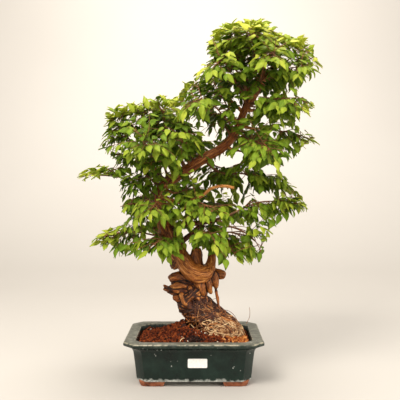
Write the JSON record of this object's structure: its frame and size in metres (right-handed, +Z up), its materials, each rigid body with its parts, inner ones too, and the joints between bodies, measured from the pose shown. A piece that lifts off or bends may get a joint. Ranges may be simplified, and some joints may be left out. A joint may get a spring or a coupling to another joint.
{
  "type": "korean hornbeam bonsai",
  "caption": "Informal upright hornbeam tree with a twisted root base and an S-shaped trunk, in full leaf, standing in a glazed rectangular pot with cut corners.",
  "frame": {"origin": "on the surface that the pot stands on, under the middle of the whole tree's width and depth", "axes": "+Z up, +X to the right along the pot's long side, -Y out of the front that carries the label"},
  "size_m": [0.4189, 0.2578, 0.5952],
  "materials": {
    "pot_glaze": "dark green gloss glaze, bare terracotta feet",
    "netting": "black netting",
    "label_paper": "blank satin paper",
    "clay_grains": "loose baked-clay grains",
    "bark": "rough brown bark and roots",
    "leaf": "thin satin green leaves"
  },
  "bodies": {
    "root": {"drain_mesh_left": "netting", "drain_mesh_right": "netting", "label": "label_paper", "pot": "pot_glaze", "soil": "clay_grains", "spray_arm_front": "leaf", "spray_arm_top": "leaf", "spray_crown_back": "leaf", "spray_crown_back_left": "leaf", "spray_crown_back_right": "leaf", "spray_crown_front": "leaf", "spray_crown_front_left": "leaf", "spray_crown_front_right": "leaf", "spray_crown_high_back": "leaf", "spray_crown_high_front": "leaf", "spray_crown_left": "leaf", "spray_crown_right": "leaf", "spray_crown_top": "leaf", "spray_crown_top_left": "leaf", "spray_crown_top_right": "leaf", "spray_left_front": "leaf", "spray_left_low": "leaf", "spray_left_low_back": "leaf", "spray_left_tip": "leaf", "spray_low_left": "leaf", "spray_low_left_back": "leaf", "spray_low_left_front": "leaf", "spray_middle_back": "leaf", "spray_middle_back_left": "leaf", "spray_middle_front": "leaf", "spray_middle_inner": "leaf", "spray_pad_back": "leaf", "spray_pad_crest": "leaf", "spray_pad_front": "leaf", "spray_pad_middle": "leaf", "spray_pad_middle_back": "leaf", "spray_pad_middle_front": "leaf", "spray_pad_outer": "leaf", "spray_pad_outer_low": "leaf", "spray_pad_top": "leaf", "spray_pad_top_inner": "leaf", "spray_right_bottom": "leaf", "spray_right_inner": "leaf", "spray_right_low": "leaf", "spray_right_low_back": "leaf", "spray_right_middle": "leaf", "spray_right_middle_back": "leaf", "spray_right_middle_front": "leaf", "spray_right_tip": "leaf", "spray_right_upper": "leaf", "spray_right_upper_back": "leaf", "spray_right_upper_front": "leaf", "spray_shoulder_back": "leaf", "spray_shoulder_front": "leaf", "spray_shoulder_inner": "leaf", "spray_shoulder_left": "leaf", "trunk": "bark"}
  },
  "joints": []
}
